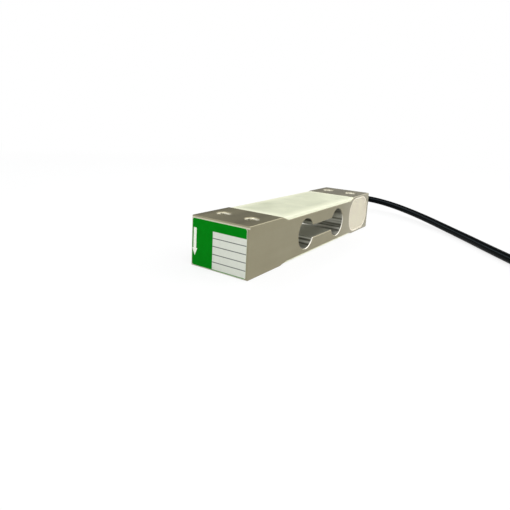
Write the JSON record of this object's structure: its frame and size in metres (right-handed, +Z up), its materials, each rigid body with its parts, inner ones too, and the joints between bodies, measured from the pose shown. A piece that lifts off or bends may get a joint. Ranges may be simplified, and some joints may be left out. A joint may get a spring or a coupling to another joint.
{
  "type": "load cell",
  "caption": "Single-point weighing load cell: a machined aluminium beam with silicone over its gauges, a potted side pocket, threaded mounting holes and a stripped cable.",
  "frame": {"origin": "on the plane that the cell stands on, under the middle of the beam", "axes": "+X runs along the beam from the label end to the cable end, +Y is the side that the cable leaves by and +Z is up"},
  "size_m": [0.1914, 0.2025, 0.022],
  "materials": {
    "beam_aluminium": "satin",
    "silicone_white": "satin",
    "gauge_film": "satin",
    "board_laminate": "satin",
    "resistor_body": "gloss",
    "cable_jacket": "satin",
    "wire_enamel": "gloss",
    "core_red": "satin",
    "core_black": "satin",
    "core_green": "satin",
    "core_white": "satin",
    "tinned_copper": "satin",
    "label_print": "satin"
  },
  "bodies": {
    "root": {"beam": "beam_aluminium", "gauge_coat_top": "silicone_white", "gauge_coat_bottom": "silicone_white", "pocket_seal": "silicone_white", "strain_gauge_top_label_side": "gauge_film", "strain_gauge_top_cable_side": "gauge_film", "strain_gauge_bottom_label_side": "gauge_film", "strain_gauge_bottom_cable_side": "gauge_film", "gauge_wires_top": "wire_enamel", "gauge_wires_bottom": "wire_enamel", "compensation_board": "board_laminate", "zero_balance_resistor": "resistor_body", "span_resistor": "resistor_body", "temperature_resistor": "wire_enamel", "cable_hole_seal": "silicone_white", "cable": "cable_jacket", "cable_coil": "cable_jacket", "inner_core_red": "core_red", "inner_core_black": "core_black", "inner_core_green": "core_green", "inner_core_white": "core_white", "lead_red": "core_red", "lead_black": "core_black", "lead_green": "core_green", "lead_white": "core_white", "shield_drain": "tinned_copper", "label": "label_print"}
  },
  "joints": []
}
